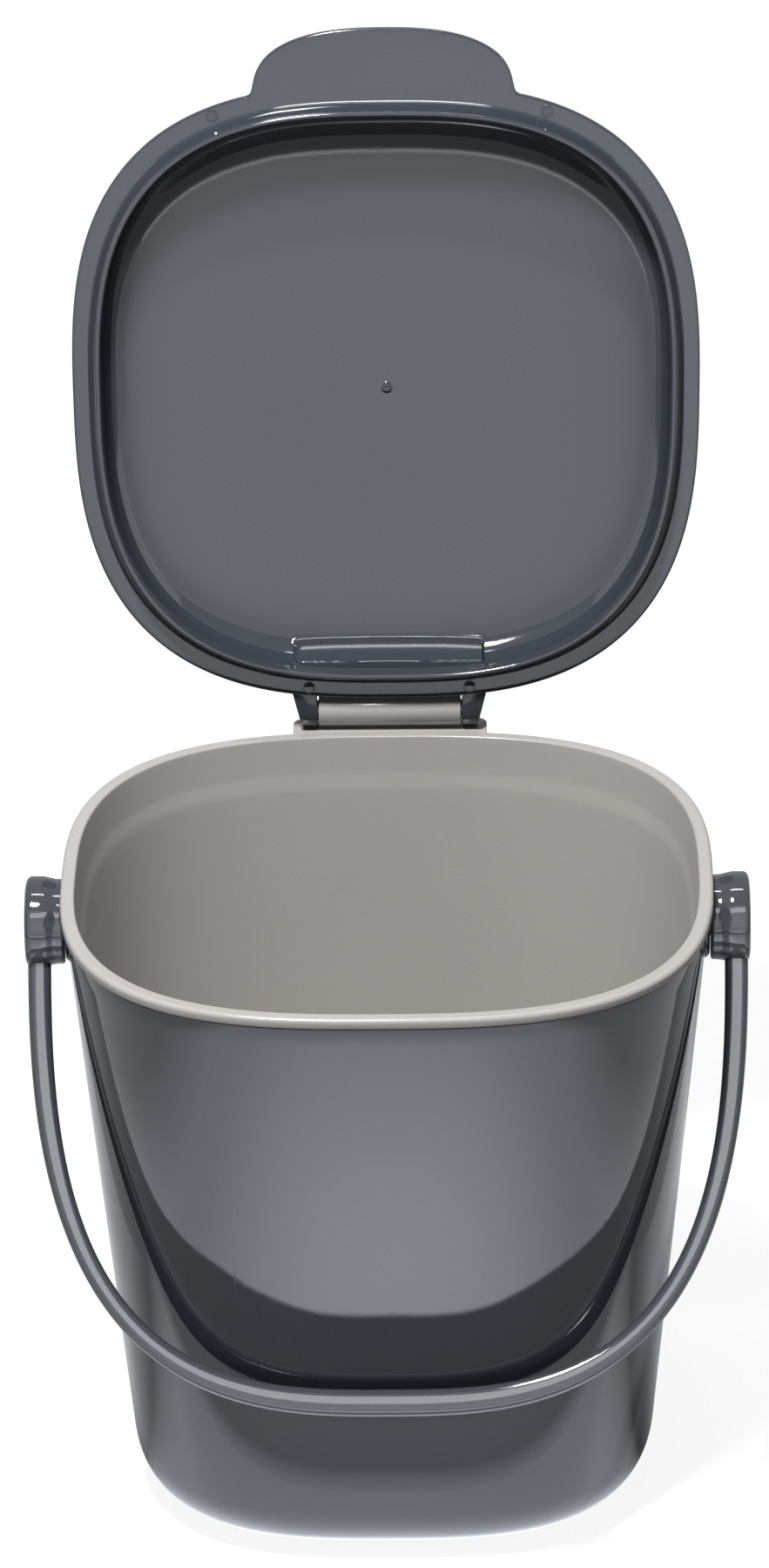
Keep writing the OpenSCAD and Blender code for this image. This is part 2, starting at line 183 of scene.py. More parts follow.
def moulded(name, colour, shade, roughness, ior, wave, grain, scuffs=0.0):
    """Moulded thermoplastic. The colour drifts a little over some centimetres, as pigment does in
    a large moulding. Sink and flow marks, wave mm apart, bend the reflections slightly, and the
    tool's fine polish gives the roughness its grain. Handling leaves hair scuffs of a few
    hundredths of a millimetre, drawn a tenth of a millimetre wide so that they show."""
    material = bpy.data.materials.new(name)
    material.use_nodes = True
    tree = material.node_tree
    tree.nodes.clear()
    place = add(tree, "ShaderNodeTexCoord")
    drift = add(tree, "ShaderNodeTexNoise", [("Vector", place, "Object")],
                in_Scale=1 / (45 * MM), in_Detail=2.0)
    tint = add(tree, "ShaderNodeMix", [(0, drift, "Fac")], data_type="RGBA",
               in_6=linear(colour), in_7=linear(shade))
    speck = add(tree, "ShaderNodeTexNoise", [("Vector", place, "Object")],
                in_Scale=1 / (grain * MM), in_Detail=4.0, in_Roughness=0.65)
    rough = span(tree, (speck, "Fac"), 0.3, 0.7, roughness * 0.8, roughness * 1.3)
    sink = add(tree, "ShaderNodeTexNoise", [("Vector", place, "Object")],
               in_Scale=1 / (wave * MM), in_Detail=3.0, in_Roughness=0.4)
    wavy = add(tree, "ShaderNodeBump", [("Height", sink, "Fac")],
               in_Strength=1.0, in_Distance=0.02 * MM)
    fine = add(tree, "ShaderNodeBump", [("Height", speck, "Fac"), ("Normal", wavy, "Normal")],
               in_Strength=0.12, in_Distance=0.006 * MM)
    normal = fine
    if scuffs:
        lean = add(tree, "ShaderNodeMapping", [("Vector", place, "Object")],
                   in_Rotation=(0.4, 0.9, 0.6), in_Scale=(1.0, 1.0, 0.06))
        hair = add(tree, "ShaderNodeTexVoronoi", [("Vector", lean, "Vector")],
                   feature="DISTANCE_TO_EDGE", in_Scale=1 / (9 * MM))
        line = span(tree, (hair, "Distance"), 0.0, 0.012, 1.0, 0.0)
        patch = add(tree, "ShaderNodeTexNoise", [("Vector", place, "Object")],
                    in_Scale=1 / (22 * MM), in_Detail=3.0)
        worn = span(tree, (patch, "Fac"), 0.56, 0.68, 0.0, scuffs)
        scuff = combine(tree, "MULTIPLY", line, worn)
        rough = combine(tree, "ADD", rough, scuff, use_clamp=True)
        normal = add(tree, "ShaderNodeBump", [("Height", *scuff), ("Normal", fine, "Normal")],
                     invert=True, in_Strength=0.3, in_Distance=0.008 * MM)
    surface = add(tree, "ShaderNodeBsdfPrincipled",
                  [("Base Color", tint, 2), ("Roughness", *rough), ("Normal", normal, "Normal")],
                  in_IOR=ior, in_Metallic=0.0)
    add(tree, "ShaderNodeOutputMaterial", [("Surface", surface, "BSDF")])
    return material


columns = np.arange(SHELL_COLUMNS) / SHELL_COLUMNS * WHOLE_TURN

FOOT = 1.2                   # height of the foot ring
RING_WIDTH = 3.0
SHELL_WALL, SHELL_FLOOR = 1.6, 2.0
BOTTOM_ROUND = 16.0          # radius of the outer bottom edge
EDGE = 0.6                   # radius of the rolled top edge

z_out, in_out = cup(0, FOOT, BOTTOM_ROUND, SHELL_TOP - EDGE)
roll = np.linspace(0, math.pi / 2, 6)[1:]
z_roll, in_roll = SHELL_TOP - EDGE * (1 - np.sin(roll)), EDGE * (1 - np.cos(roll))
z_in, in_in = cup(SHELL_WALL, FOOT + SHELL_FLOOR, BOTTOM_ROUND - SHELL_WALL, SHELL_TOP - 0.2)
shell_z = np.concatenate([z_out, z_roll, [SHELL_TOP], z_in[::-1]])
shell_in = np.concatenate([in_out, in_roll, [SHELL_WALL - 0.2], in_in[::-1]])
shell_body = skin(*shell_of((*wall(shell_z, shell_in), shell_z), columns))

ring_z = np.array([FOOT + 0.2, 0.25, 0.07, 0.0, 0.0, 0.07, 0.25, FOOT + 0.2])
ring_side = np.array([0, 0, 0.07, 0.25])
ring_in = BOTTOM_ROUND + 1.0 + np.concatenate([ring_side, RING_WIDTH - ring_side[::-1]])
foot_ring = skin(*shell_of((*wall(np.full(8, FOOT), ring_in), ring_z), columns), wrap_rows=True)

PIVOT_Z = 158.5              # height of the handle's pivots
BOSS_R, STUD_R, HEAD_R = 10.8, 5.0, 5.6
BOSS_FACE = 85.4             # where the boss ends, measured from the middle
STUD_END = 92.4              # where the stud's snap head ends
boss = skin(*turned([POLE, BOSS_R, BOSS_R, BOSS_R - 0.05, BOSS_R - 0.2, BOSS_R - 0.7,
                     BOSS_R - 0.9, POLE],
                    BOSS_FACE - np.array([3.2, 3.2, 0.75, 0.65, 0.45, 0.04, 0, 0])))
stud = skin(*turned([POLE, STUD_R, STUD_R, HEAD_R, HEAD_R, HEAD_R - 0.4, POLE],
                    [BOSS_FACE - 1, BOSS_FACE - 1, STUD_END - 1.6, STUD_END - 1.6,
                     STUD_END - 0.4, STUD_END, STUD_END]))
for solid in (boss, stud):
    solid[0][:, 2] += PIVOT_Z

# Charcoal ABS, injection moulded in a polished tool: dark, even, with clear but soft reflections.
charcoal_abs = moulded("charcoal_abs_polished_mould", "#222429", "#1f2126", 0.03, 1.54,
                       wave=14, grain=0.7, scuffs=0.12)

shell = piece("shell_moulding", [shell_body, foot_ring, boss, stud, mirrored(boss), mirrored(stud)])
shell.data.materials.append(charcoal_abs)
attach(shell, "body")
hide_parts("outer_shell")

# --------------------------------------------------------------- inner bucket
# The lift-out bucket is light warm grey polypropylene with a satin mould finish.
# Its thick rim sits on the shell over a reveal groove and has a flat land and a sloping
# lead-in. The platform and the bored barrel for the lid's hinge are moulded on at the back.

RIM_TOP, BAND_LOW = 173.0, 170.3
BAND_HALF = (86.4, 86.0)     # half width and depth of the rim band
BAND_ROUND = 1.2             # rounding of the band's upper edge
LAND_IN = 3.8                # inset of the land's inner edge
LEAD_LOW, LEAD_IN = 163.8, 3.3  # height and inset of the lead-in's foot
STEP_DROP = 6.8              # the wall turns in below the lead-in over this height
BUCKET_OUT, BUCKET_IN, BUCKET_FLOOR, FLOOR_THICK = 2.0, 3.8, 3.6, 2.0
OUT_ROUND, IN_ROUND = 14.0, 12.2  # radii of the bottom edge outside and inside

z_cup, in_cup = cup(BUCKET_OUT, BUCKET_FLOOR, OUT_ROUND, SHELL_TOP)
z_liner, in_liner = cup(BUCKET_IN, BUCKET_FLOOR + FLOOR_THICK, IN_ROUND, LEAD_LOW - STEP_DROP)
turn = np.linspace(0, math.pi / 2, 9)


def smooth_step(p, low, high):
    """0 below low, 1 above high, and an even turn between them."""
    q = np.clip((p - low) / (high - low), 0, 1)
    return q * q * (3 - 2 * q)


def band(inset):
    """Half width, half depth and power of the rim band, moved in by inset."""
    inset = np.asarray(inset, float)
    return BAND_HALF[0] - inset, BAND_HALF[1] - inset, np.full(inset.shape, RIM_POWER)


# ledge, reveal groove, band with its lower and upper rounding, land, rounded inner edge
rim_in = np.concatenate([[1.9, 1.9, 0.25, 0.07, 0.0, 0.0], BAND_ROUND * (1 - np.cos(turn))[1:],
                         [2.0, 3.2], LAND_IN - 0.5 * (1 - np.sin(turn[::2]))])
rim_z = np.concatenate([[SHELL_TOP, BAND_LOW, BAND_LOW, BAND_LOW + 0.07, BAND_LOW + 0.25,
                         RIM_TOP - BAND_ROUND], RIM_TOP - BAND_ROUND * (1 - np.sin(turn))[1:],
                        [RIM_TOP, RIM_TOP], RIM_TOP - 0.5 * (1 - np.cos(turn[::2]))])
rim_rows = (*band(rim_in), rim_z)
# the lead-in runs from the land's inner edge to its foot, below which the wall turns in
t = np.linspace(0, 1, 8)[1:-1]
slope = [(1 - t) * top[-1] + t * foot
         for top, foot in zip(rim_rows, (*wall(LEAD_LOW, LEAD_IN), LEAD_LOW))]
sink = np.linspace(0, 1, 9)[:-1]
step_in = LEAD_IN + (BUCKET_IN - LEAD_IN) * smooth_step(sink, 0, 1)
step_z = LEAD_LOW - STEP_DROP * sink
cup_rows = (*wall(z_cup, in_cup), z_cup)
step_rows = (*wall(step_z, step_in), step_z)
liner_rows = (*wall(z_liner[::-1], in_liner[::-1]), z_liner[::-1])
bucket_rows = [np.concatenate(v) for v in zip(cup_rows, rim_rows, slope, step_rows, liner_rows)]
bucket_body = skin(*shell_of(bucket_rows, columns))


def plate(edge, low, high, rounding):
    """Flat plate with a plan outline (x, y) running once round: its side turns into its faces
    over a rounding, where the outline moves in along its own normals."""
    ahead, behind = np.roll(edge, -1, 0), np.roll(edge, 1, 0)
    tangent = ahead - behind
    normal = np.stack([tangent[:, 1], -tangent[:, 0]], -1)
    normal /= np.maximum(np.linalg.norm(normal, axis=1, keepdims=True), 1e-9)
    area = np.sum(edge[:, 0] * ahead[:, 1] - ahead[:, 0] * edge[:, 1])
    normal *= math.copysign(1, area)
    q = np.linspace(0, math.pi / 2, 4)
    move = np.concatenate([rounding * (1 - np.sin(q)), rounding * (1 - np.cos(q))])
    height = np.concatenate([low + rounding * (1 - np.cos(q)), high - rounding * (1 - np.sin(q))])
    grid = edge[None] - normal[None] * move[:, None, None]
    count = len(edge)
    heights = np.repeat(height[:, None], count, 1)
    points, faces = skin(grid[..., 0], grid[..., 1], heights, poles=False)
    first, last = list(range(count)), list(range(len(points) - count, len(points)))
    upward = area > 0
    faces += [first[::-1] if upward else first, last if upward else last[::-1]]
    return points, faces


HINGE_Y, HINGE_Z = 89.013, 178.0  # the hinge axis
BARREL_HALF, BARREL_R = 19.5, 4.4
BORE_R, BORE_DEPTH = 2.81, 5.5
PLATFORM_HALF, CORNER_R = 26.65, 3.0

# the platform starts on the rim's land and has rounded back corners
land_half = [half - BAND_ROUND for half in BAND_HALF]
front_x = np.linspace(-PLATFORM_HALF, PLATFORM_HALF, 41)
front_y = land_half[1] * (1 - (np.abs(front_x) / land_half[0]) ** RIM_POWER) ** (1 / RIM_POWER)
corner = np.linspace(0, math.pi / 2, 9)
back_y = HINGE_Y + BARREL_R + 0.6
right_x = PLATFORM_HALF - CORNER_R * (1 - np.cos(corner))
corner_y = back_y - CORNER_R * (1 - np.sin(corner))
platform_edge = np.vstack([np.stack([front_x, front_y], -1), np.stack([right_x, corner_y], -1),
                           np.stack([-right_x[::-1], corner_y[::-1]], -1)])
platform = plate(platform_edge, BAND_LOW, RIM_TOP, 0.35)

# barrel on its web, with a blind bore at each end
barrel_x = -BARREL_HALF + np.array([BORE_DEPTH, BORE_DEPTH, 0.3, 0.08, 0, 0, 0.08, 0.3])
barrel_r = np.array([POLE, BORE_R, BORE_R, BORE_R + 0.08, BORE_R + 0.3,
                     BARREL_R - 0.4, BARREL_R - 0.12, BARREL_R])
barrel = skin(*turned(np.concatenate([barrel_r, barrel_r[::-1]]),
                      np.concatenate([barrel_x, -barrel_x[::-1]])))
barrel[0][:] += [0, HINGE_Y, HINGE_Z]
web_half, web_front, web_back = BARREL_HALF - 0.1, HINGE_Y - 0.6, HINGE_Y + 3.9
web_edge = np.array([[-web_half, web_front], [web_half, web_front],
                     [web_half, web_back], [-web_half, web_back]])
web = plate(web_edge, RIM_TOP - 0.5, HINGE_Z - 0.5, 0.02)

# Warm grey polypropylene from a fine-blasted tool: satin, slightly milky, with no clear reflection.
grey_pp = moulded("warm_grey_polypropylene_satin", "#a8a4a1", "#a39f9c", 0.2, 1.49,
                  wave=25, grain=0.5)

bucket = piece("bucket_moulding", [bucket_body, platform, barrel, web])
bucket.data.materials.append(grey_pp)
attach(bucket, "body")
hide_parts("inner_bucket")

# ------------------------------------------------------------------------ lid
# The lid is one charcoal ABS moulding: a flat flange with a thumb tab, a plug lip below it and
# a low dome above. A pocket in the dome's back makes room for the barrel, and two ears with
# stub pins clip into the barrel's bores. It is moulded closed side down and gated in the middle.

LID_HALF = (85.2, 84.8)      # half width and depth of the flange
LID_POWER = 2.8
LID_FLARE = 0.015            # the lid grows this much wider towards its front
SEAT = RIM_TOP + 0.2         # underside of the flange with the lid closed
FLANGE, FLANGE_ROUND = 2.5, 0.7
DISH_IN = 8.3                # inset of the dish's wall
LIP_DEPTH, LIP_ROUND, LIP_MIDDLE = 6.0, 0.8, 7.1
DOME_IN, DOME_FOOT = 4.1, FLANGE + 0.4
DOME_POWER, DOME_RISE, DOME_WALL = 3.4, 14.0, 2.1
TAB_HALF, TAB_REACH, TAB_POWER = 35.25, 15.4, 2.5
TAB_BLEND = 4.0              # the tab's roots are rounded where the two outlines are this close
TAB_NEAREST = 60.0           # rays on which the tab ends nearer than this miss it
TAB_ROOT_AT, POCKET_END_AT = 24.5, 20.3  # degrees round the middle, from front and back
OPEN_ANGLE = math.radians(102)
LID_COLUMNS = 600


def even_steps(density, count, low, high):
    """Parameter values between low and high spaced by a density function of the parameter."""
    fine = np.linspace(low, high, 20001)
    weight = np.concatenate([[0], np.cumsum((density(fine[1:]) + density(fine[:-1])) / 2)])
    return np.interp(np.arange(count) / count * weight[-1], weight, fine)


def bell(angle, centre, width):
    """Bump of height 1 round a centre, in degrees."""
    return np.exp(-((np.degrees(angle) - centre) / width) ** 2)


def lid_density(angle):
    """More columns along the tab, at its roots and at the ends of the pocket."""
    return (1 + 1.4 * np.exp(-((np.degrees(angle) - 270) / 27) ** 8)
            + 3 * sum(bell(angle, 270 + side * TAB_ROOT_AT, 3) for side in (-1, 1))
            + 9 * sum(bell(angle, 90 + side * POCKET_END_AT, 1.7) for side in (-1, 1)))


lid_angle = even_steps(lid_density, LID_COLUMNS, 0, WHOLE_TURN)
edge_x = outline(*LID_HALF, LID_POWER, lid_angle)[0][0]
# 1 within 26 degrees of the back, 0 beyond 52
parallel = 1 - smooth_step(np.abs(np.degrees(lid_angle) - 90), 26, 52)
PARALLEL_DOWN_TO = 0.8       # outlines smaller than this share draw those columns together again


def lid_rows(inset, share=1.0):
    """Outlines of the lid moved in by inset and scaled by share. Round the back the columns run
    parallel to Y instead of to the middle, so that the pocket's ends lie along them."""
    inset, share = np.broadcast_arrays(np.atleast_1d(inset), np.atleast_1d(share))
    a, b = ((LID_HALF[i] - inset)[:, None] * share[:, None] for i in (0, 1))
    scale = a / LID_HALF[0]
    held = np.minimum(1, scale / PARALLEL_DOWN_TO)
    x = edge_x * (scale * (1 - parallel) + held * parallel)
    x = np.clip(x, -a, a)
    depth = b * np.maximum(0, 1 - (np.abs(x) / a) ** LID_POWER) ** (1 / LID_POWER)
    y = np.sign(np.sin(lid_angle)) * depth
    return x * (1 - LID_FLARE * y / LID_HALF[1]), y


def with_tab(x, y, inset):
    """The flange's outline joined to the tab's: along each ray from the middle the longer of the
    two radii, blended where they are close. The tab is a superellipse standing on the flange."""
    inset = np.atleast_1d(inset)[:, None]
    half = TAB_HALF / (1 + LID_FLARE)
    root = LID_HALF[1] * (1 - (half / LID_HALF[0]) ** LID_POWER) ** (1 / LID_POWER)
    reach = LID_HALF[1] + TAB_REACH - root - inset
    radius = np.hypot(x, y)
    c, s = np.abs(x) / radius, -y / radius
    # the tab's radius by halving, from a bracket wider than the lid
    low, high = np.zeros_like(radius), np.full_like(radius, 130.0)
    for _ in range(30):
        middle = (low + high) / 2
        inside = (middle * c / (TAB_HALF - inset)) ** TAB_POWER \
            + (np.maximum(0, middle * s - root) / reach) ** TAB_POWER < 1
        low, high = np.where(inside, middle, low), np.where(inside, high, middle)
    tab = np.where(s > 0, low, 0)
    near = np.maximum(0, 1 - np.abs(radius - tab) / TAB_BLEND)
    joined = np.maximum(radius, tab) + near ** 2 * TAB_BLEND / 4
    longer = np.where(tab > TAB_NEAREST, joined, radius)
    return x * longer / radius, y * longer / radius


def soft_min(p, q, k):
    """The smaller of two heights, rounded over k where they cross."""
    near = np.maximum(0, 1 - np.abs(p - q) / k)
    return np.minimum(p, q) - near ** 2 * k / 4


POCKET_SLOPE = 1 / math.tan(math.radians(28))
POCKET_RISE = 0.1            # rise of the pocket's floor towards the back
POCKET_FROM = 40.0           # nothing nearer to the front than this is cut


def pocketed(x, y, z, half, face_y, floor, blend):
    """Heights of the dome with a leaning flat cut into its back between x = -half and half."""
    flat = np.maximum(floor + (y - face_y) * np.where(y > face_y, POCKET_RISE, 0),
                      floor + (face_y - y) * POCKET_SLOPE)
    cut = np.where(y > POCKET_FROM, soft_min(z, flat, blend), z)
    return cut + (z - cut) * smooth_step(np.abs(x), half - 0.35, half + 0.45)


def dome_section(rise, steps=38):
    """Share of the half width and height of the dome's section, p^s + (z / rise)^s = 1,
    from its edge to just short of its crown."""
    t = np.linspace(0, 1, steps + 1)[1:] ** 0.9 * math.pi / 2
    share = np.maximum(0.004, np.cos(t) ** (2 / DOME_POWER))
    return share, rise * np.sin(t) ** (2 / DOME_POWER)


def level(heights):
    """One height for every column of each row."""
    return np.repeat(np.asarray(heights, float)[:, None], LID_COLUMNS, 1)


quarter = np.linspace(0, math.pi / 2, 7)
half_turn = np.linspace(0, math.pi, 9)
# ceiling, from the crown down to the lip
in_share, in_rise = dome_section(DOME_RISE, 80)
cx, cy = lid_rows(DISH_IN, in_share[::-1])
cz = pocketed(cx, cy, level(in_rise[::-1]), half=25.7, face_y=74.5, floor=0.3, blend=1.0)
# lip: inner face, rounded edge, outer face with a small fillet under the flange
lip_in = np.concatenate([[DISH_IN, 8.1, 7.92], LIP_MIDDLE + LIP_ROUND * np.cos(half_turn),
                         [5.5, 4.9, 4.45, 4.3]])
lip_z = np.concatenate([[0.0, -2.6, -5.0], LIP_ROUND - LIP_DEPTH - LIP_ROUND * np.sin(half_turn),
                        [-2.6, -0.6, -0.15, 0.0]])
lx, ly = lid_rows(lip_in)
# flange: underside, rounded edge, top face
flange_in = np.concatenate([[FLANGE_ROUND], FLANGE_ROUND * (1 - np.sin(quarter))[1:],
                            FLANGE_ROUND * (1 - np.cos(quarter))])
flange_z = np.concatenate([[0], FLANGE_ROUND * (1 - np.cos(quarter))[1:],
                           FLANGE - FLANGE_ROUND * (1 - np.sin(quarter))])
fx, fy = with_tab(*lid_rows(flange_in), flange_in)
# top: fillet onto the flange, then the dome up to the crown
root_in, root_z = np.array([4.0, 3.75, 3.7]), np.array([FLANGE, FLANGE + 0.08, FLANGE + 0.3])
rx, ry = lid_rows(root_in)
out_share, out_rise = dome_section(DOME_RISE + DOME_WALL - DOME_FOOT)
dx, dy = lid_rows(DOME_IN, out_share)
dz = pocketed(dx, dy, level(out_rise + DOME_FOOT), half=23.5, face_y=76.7, floor=FLANGE, blend=0.9)


def between(first, second, count):
    """Rows part way between two rows."""
    t = np.linspace(0, 1, count + 2)[1:-1, None]
    return first[None] * (1 - t) + second[None] * t


under = [between(p[-1], q[0], 4) for p, q in ((lx, fx), (ly, fy))]
over = [between(p[-1], q[0], 4) for p, q in ((fx, rx), (fy, ry))]
lid_x = np.vstack([cx, lx, under[0], fx, over[0], rx, dx])
lid_y = np.vstack([cy, ly, under[1], fy, over[1], ry, dy])
lid_z = np.vstack([cz, level(lip_z), level(np.zeros(4)), level(flange_z), level(np.full(4, FLANGE)),
                   level(root_z), dz]) + SEAT
lid_body = skin(lid_x, lid_y, lid_z)


def opened(part):
    """Turn a piece of the closed lid about the hinge axis into the open position."""
    points, faces = part
    c, s = math.cos(-OPEN_ANGLE), math.sin(-OPEN_ANGLE)
    y, z = points[:, 1] - HINGE_Y, points[:, 2] - HINGE_Z
    return np.stack([points[:, 0], HINGE_Y + y * c - z * s, HINGE_Z + y * s + z * c], -1), faces


# hinge ear in profile (y, z) about the axis: round end, stop heel, arm onto the flange
EAR_IN, EAR_ROOT, EAR_TIP, EAR_R = BARREL_HALF + 0.35, 7.6, 4.0, 4.6
HEEL_TILT, HEEL_OUT, HEEL_LONG = OPEN_ANGLE - math.pi / 2, 4.9, 3.0
ear_reach = HINGE_Y - LID_HALF[1] + 4.7
flange_under = SEAT - HINGE_Z
turn_up = np.linspace(math.pi / 2, HEEL_TILT, 12)
turn_low = np.linspace(math.radians(-20), math.radians(-90), 9)
tilt_c, tilt_s = math.cos(HEEL_TILT), math.sin(HEEL_TILT)
heel = np.array([[HEEL_OUT, 0], [HEEL_OUT, HEEL_LONG]]) \
    @ np.array([[tilt_c, tilt_s], [-tilt_s, tilt_c]])
ear_edge = np.vstack([
    [[-ear_reach, flange_under + 0.2], [-ear_reach, flange_under + FLANGE + 1.5]],
    EAR_R * np.stack([np.cos(turn_up), np.sin(turn_up)], -1)[:-3],
    heel[::-1],
    EAR_R * np.stack([np.cos(turn_low), np.sin(turn_low)], -1),
    [[-3.2, flange_under + 0.2]]])


def ear():
    """Hinge ear as a plate standing across X, its outer face slanting from root to tip."""
    points, faces = plate(ear_edge, 0.0, EAR_ROOT, 0.45)
    y, z, x = points[:, 0], points[:, 1], points[:, 2]
    reach = (y + ear_reach) / (ear_reach + EAR_R + 0.4)
    thick = EAR_ROOT + (EAR_TIP - EAR_ROOT) * np.clip(reach, 0, 1)
    x = EAR_IN + x * thick / EAR_ROOT
    points = np.stack([x, y + HINGE_Y, z + HINGE_Z], -1)
    return points, faces


PIN_R = 2.75
pin = skin(*turned([POLE, PIN_R - 0.45, PIN_R - 0.1, PIN_R, PIN_R, POLE],
                   [BARREL_HALF - 4, BARREL_HALF - 4, BARREL_HALF - 3.85, BARREL_HALF - 3.5,
                    EAR_IN + 1, EAR_IN + 1]))
pin[0][:] += [0, HINGE_Y, HINGE_Z]
right_ear = ear()


def button(radius, along, x, y, z):
    """Small closed surface of revolution about an upright axis through (x, y), hanging from z."""
    across, flat, side = turned(radius, along, 40)
    return skin(flat + x, side + y, across + z)


# witness rings of the ejector pins on the flange and the ears' roots, and the stub of the gate
ring_r = [POLE, 1.25, 1.42, 1.5, 1.6, 1.68, 1.72, 1.72, POLE]
ring_drop = [-0.03, -0.03, -0.12, -0.15, -0.15, -0.12, -0.05, 0.2, 0.2]
marks = [button(ring_r, ring_drop, x, y, SEAT) for x, y in
         ((-46.2, -76.7), (44.2, -77.2), (-22.0, 81.6), (22.0, 81.6))]
gate_r = [POLE, 0.35, 0.6, 0.85, 1.0, 1.15, 1.6, 1.9, POLE]
gate_drop = [-0.12, -0.15, -0.5, -0.55, -0.5, -0.2, -0.06, 0.3, 0.3]
marks.append(button(gate_r, gate_drop, 0, 0.8, SEAT + DOME_RISE))

# Charcoal ABS of the lid: the same batch as the shell, written lighter and a shade bluer, a painted
# lift for the light its broad faces catch.
lid_abs = moulded("charcoal_abs_lid_polished_painted_lighter", "#353940", "#32363c", 0.07, 1.54,
                  wave=9, grain=0.7, scuffs=0.1)

lid = piece("lid_moulding", [opened(p) for p in [lid_body, right_ear, mirrored(right_ear), pin,
                                                 mirrored(pin)] + marks])
lid.data.materials.append(lid_abs)
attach(lid, "lid")
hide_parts("lid")

# --------------------------------------------------------------------- handle
# The carrying handle is a flat bail of charcoal ABS, moulded in one piece with the two round
# hubs that snap over the shell's studs. At rest its grip lies against the shell's front.

HUB_IN, HUB_OUT, ARM_OUT = 85.7, 96.2, 95.7  # from the middle to the hub's ends and the arm
HUB_R, HUB_STEP = 12.2, 0.8  # the hub's disc, and how much smaller its barrel is
DISC, DISC_ROUND, HUB_EDGE = 4.0, 1.8, 0.7
REACH = 133.0                # from the pivots to the outside of the grip
ARM, GRIP, BAIL_THICK, BAIL_ROUND = 6.2, 7.2, 5.6, 2.2
BAIL_POWER = 2.82
REST_GAP = 0.3               # from the resting grip to the shell

taper = math.atan((RIM_HALF[1] - BASE_HALF[1]) / SHELL_TOP)
wall_off = wall(PIVOT_Z, 0)[1] * math.cos(taper)
grip_s, grip_h = REACH - GRIP + BAIL_ROUND, BAIL_THICK / 2 - BAIL_ROUND
rest = math.asin((wall_off + REST_GAP + BAIL_ROUND) / math.hypot(grip_s, grip_h)) \
    + math.atan(grip_h / grip_s) - taper

bail_t = np.linspace(0, math.pi, 260)


def bail_line(a, b, n):
    """Polar superellipse hanging down from the pivots: (r cos t, -r sin t)."""
    r = (np.abs(np.cos(bail_t) / a) ** n + np.abs(np.sin(bail_t) / b) ** n) ** (-1 / n)
    return np.stack([r * np.cos(bail_t), -r * np.sin(bail_t)], -1)


bail_out = bail_line(ARM_OUT, REACH, BAIL_POWER)
bail_in = bail_line(ARM_OUT - ARM, REACH - GRIP, BAIL_POWER + 0.2)
across = bail_out - bail_in
width = np.linalg.norm(across, axis=1)
across /= width[:, None]
# section of the bail: a rectangle with round corners, across its plane (s) and through it (h)
corner_turn = np.concatenate([math.pi / 2 * q + np.linspace(0, math.pi / 2, 8) for q in range(4)])
side = np.repeat([1, 0, 0, 1], 8)
face = np.repeat([1, 1, -1, -1], 8)
s_mid = BAIL_ROUND + side[None] * (width[:, None] - 2 * BAIL_ROUND)
section_s = s_mid + BAIL_ROUND * np.cos(corner_turn)
section_h = face * (BAIL_THICK / 2 - BAIL_ROUND) + BAIL_ROUND * np.sin(corner_turn)
bail_x = bail_in[:, 0, None] + across[:, 0, None] * section_s
bail_z = bail_in[:, 1, None] + across[:, 1, None] * section_s
bail = skin(bail_x, np.broadcast_to(section_h, bail_x.shape), bail_z)

barrel_of_hub = HUB_R - HUB_STEP
flare_from, flare_to = HUB_IN + 1.6, HUB_OUT - DISC
flare = np.linspace(0, math.pi, 13)
round_off = np.linspace(0, math.pi / 2, 9)
hub_r = np.concatenate([
    [POLE, HEAD_R + 0.3, HEAD_R + 0.3, STUD_R + 0.08, STUD_R + 0.08, STUD_R + 0.3,
     barrel_of_hub - HUB_EDGE - 0.1, barrel_of_hub - 0.35,
     barrel_of_hub - 0.1, barrel_of_hub],
    barrel_of_hub + HUB_STEP * (1 - np.cos(flare)) / 2,
    HUB_R - DISC_ROUND * (1 - np.cos(round_off)), [6.0, POLE]])
hub_x = np.concatenate([
    [STUD_END + 0.3, STUD_END + 0.3, STUD_END - 1.9, STUD_END - 1.9, HUB_IN + 0.3, HUB_IN, HUB_IN,
     HUB_IN + 0.15, HUB_IN + 0.4, HUB_IN + 0.9],
    flare_from + (flare_to - flare_from) * flare / math.pi,
    HUB_OUT - DISC_ROUND * (1 - np.sin(round_off)), [HUB_OUT, HUB_OUT]])
hub = skin(*turned(hub_r, hub_x, 128))


def hung(part):
    """Turn the handle about its pivots from straight down to its resting place."""
    points, faces = part
    c, s = math.cos(-rest), math.sin(-rest)
    y, z = points[:, 1], points[:, 2]
    return np.stack([points[:, 0], y * c - z * s, PIVOT_Z + y * s + z * c], -1), faces


# Charcoal ABS of the handle: the shell's plastic written lighter, a painted lift for the light it
# catches, with its own roughness and scuffs from the hand.
handle_abs = moulded("charcoal_abs_handle_worn_painted_lighter", "#383b40", "#35383d", 0.06, 1.54,
                     wave=9, grain=0.6, scuffs=0.14)

handle = piece("handle_moulding", [hung(bail), hung(hub), hung(mirrored(hub))])
handle.data.materials.append(handle_abs)
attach(handle, "handle")
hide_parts("handle")

# --------------------------------------------------------------- studio stage
# A small studio: a sheet of matt paper in a dim room, a square soft box high in front on the
# left, and strips, boxes and a light table with a dark mat that the gloss mouldings mirror.
# Flags on stands keep most of these off the satin bucket and the paper.

scene = bpy.context.scene
scene.view_settings.view_transform = "Standard"

PAPER_HALF = 6.0
floor_mesh = bpy.data.meshes.new("paper_floor")
floor_mesh.from_pydata([(x * PAPER_HALF, y * PAPER_HALF, 0) for x, y in
                        ((-1, -1), (1, -1), (1, 1), (-1, 1))], [], [(0, 1, 2, 3)])
floor = bpy.data.objects.new("paper_floor", floor_mesh)
scene.collection.objects.link(floor)

